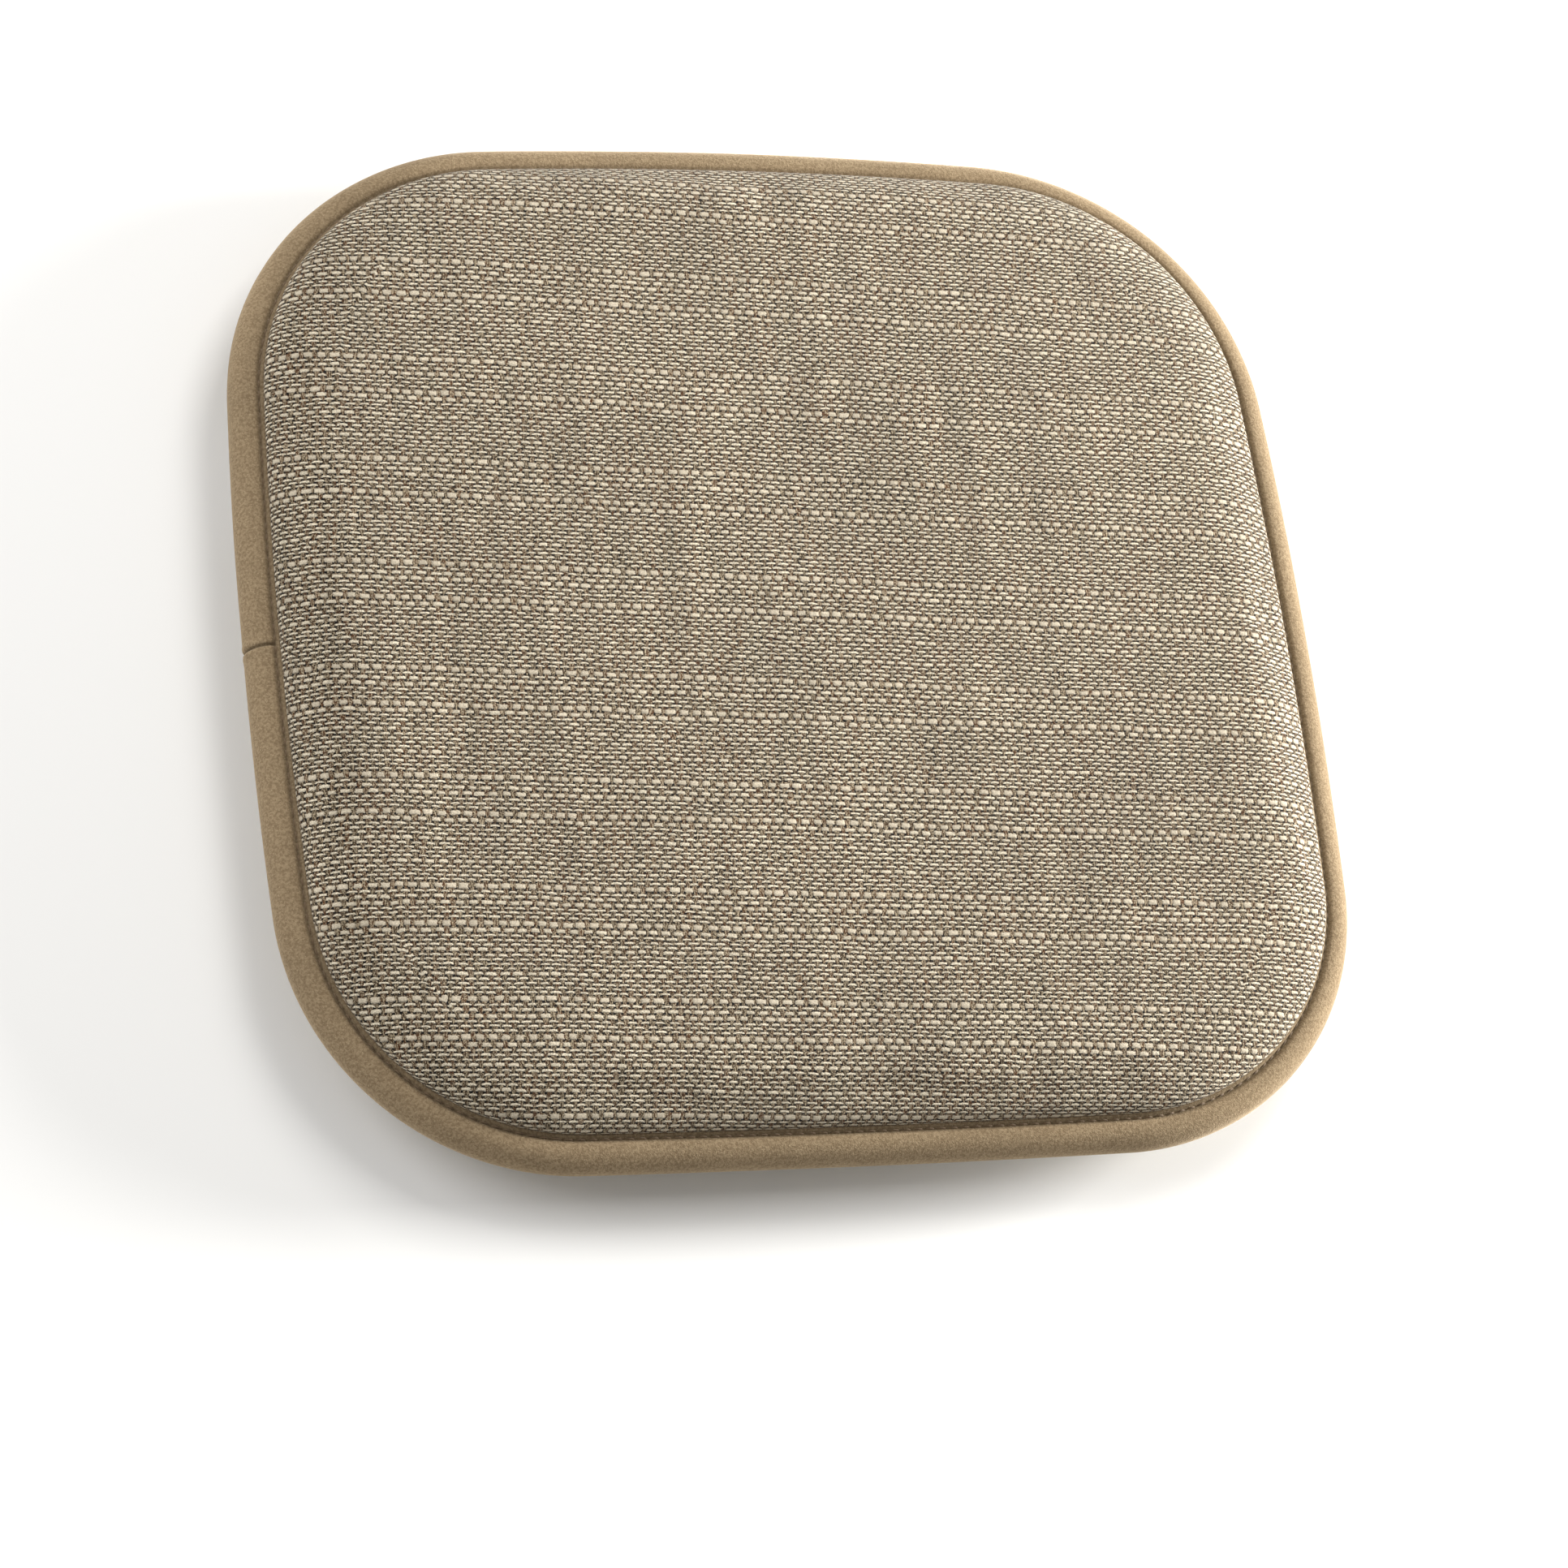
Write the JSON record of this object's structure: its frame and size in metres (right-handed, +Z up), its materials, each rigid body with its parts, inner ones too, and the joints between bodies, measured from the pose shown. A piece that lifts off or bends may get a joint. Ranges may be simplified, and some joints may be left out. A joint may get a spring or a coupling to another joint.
{
  "type": "chair seat pad",
  "caption": "Flat rounded-square chair pad: woven top, pale plain underside, foam core and a fat velvet edge binding with a small folded care label.",
  "frame": {"origin": "middle of the pad on the surface that it lies on", "axes": "+Z up through the top face; -Y towards the wide front edge; +X to the right seen from the front"},
  "size_m": [0.4098, 0.4059, 0.042],
  "materials": {
    "foam": "open-cell foam",
    "cord_filler": "soft wadding cord",
    "slub_weave": "coarse slub plain weave",
    "cream_cloth": "fine ribbed grip cloth",
    "velvet": "short-pile velvet",
    "thread": "spun sewing thread",
    "satin_label": "printed satin ribbon"
  },
  "bodies": {
    "pad": {"foam_core": "foam", "filler_cord": "cord_filler", "top_cover": "slub_weave", "bottom_cover": "cream_cloth", "edge_binding": "velvet", "top_edge_stitching": "thread", "bottom_edge_stitching": "thread", "splice_thread": "thread"},
    "label": {"care_label": "satin_label"}
  },
  "joints": [
    {"name": "label_flip", "type": "hinge", "parent": "pad", "child": "label", "pos_m": [-0.1906, 0.072, 0.0124], "axis": [0.0366, 0.9993, 0], "range_deg": [0, 120]}
  ]
}
